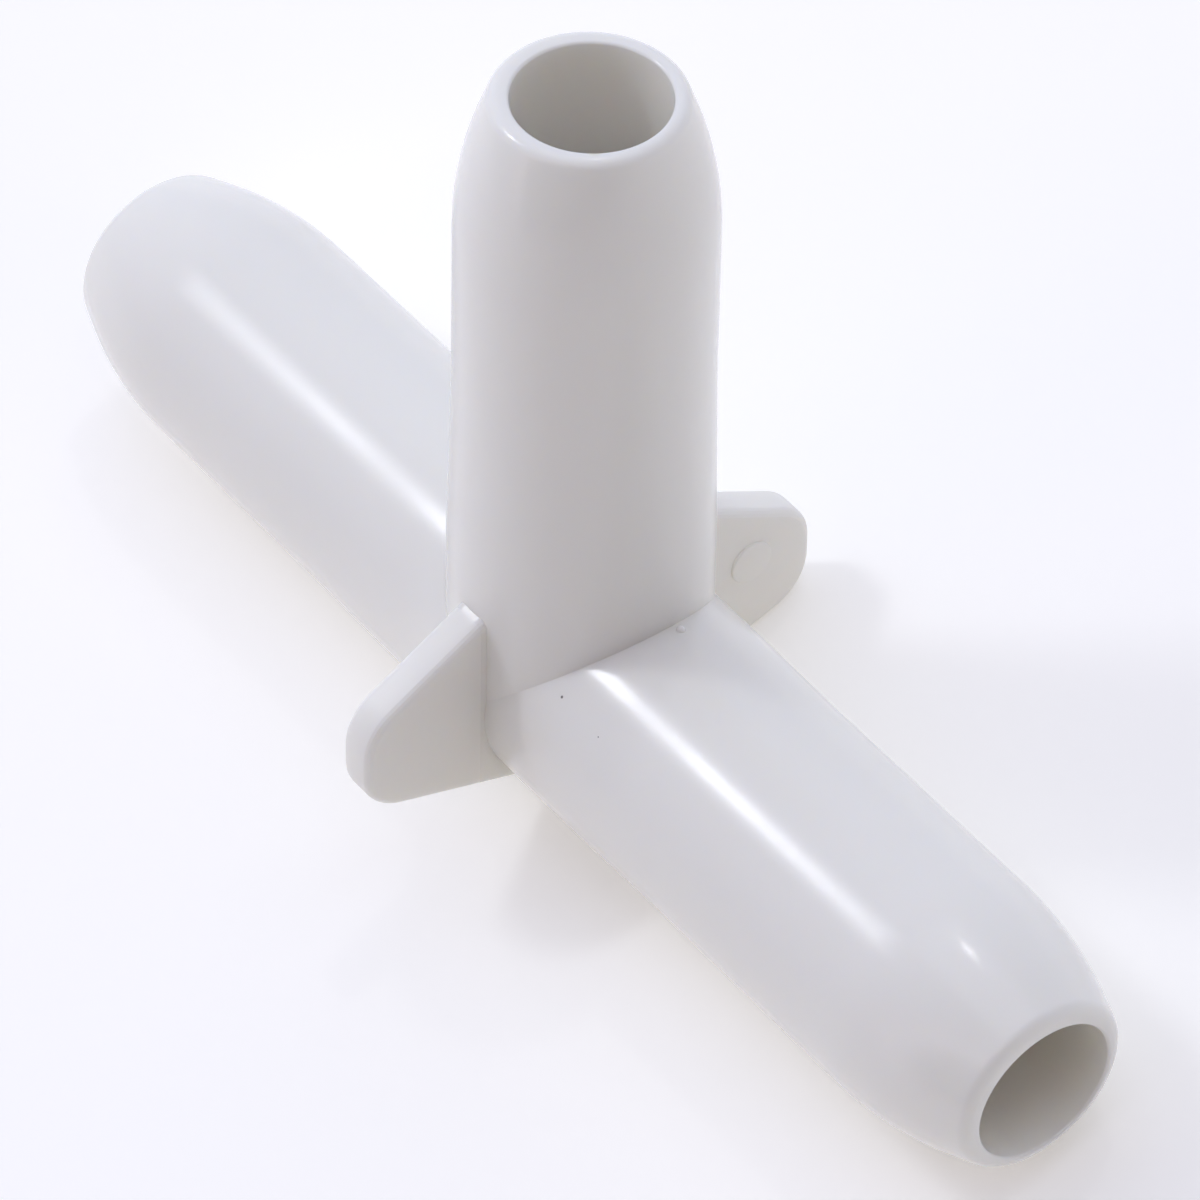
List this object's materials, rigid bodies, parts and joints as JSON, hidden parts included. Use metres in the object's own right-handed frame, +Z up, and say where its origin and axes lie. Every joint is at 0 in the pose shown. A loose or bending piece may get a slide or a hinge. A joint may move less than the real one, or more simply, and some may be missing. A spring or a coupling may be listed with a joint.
{
  "type": "hose tee fitting",
  "caption": "One-piece moulded plastic hose tee with smooth bullet-nosed spigots and two small finger wings at the crossing, lying on one wing.",
  "frame": {"origin": "bottom centre of the bounding box, on the table, under the crossing", "axes": "+X along the run, +Z up; the branch leans 19 degrees from +Z towards +Y, because the tee rests on its belly and its +Y wing"},
  "size_m": [0.077, 0.031, 0.045],
  "materials": {
    "white_plastic": "satin moulded white plastic with a faint cool tint"
  },
  "bodies": {
    "root": {"tee_body": "white_plastic"}
  },
  "joints": []
}
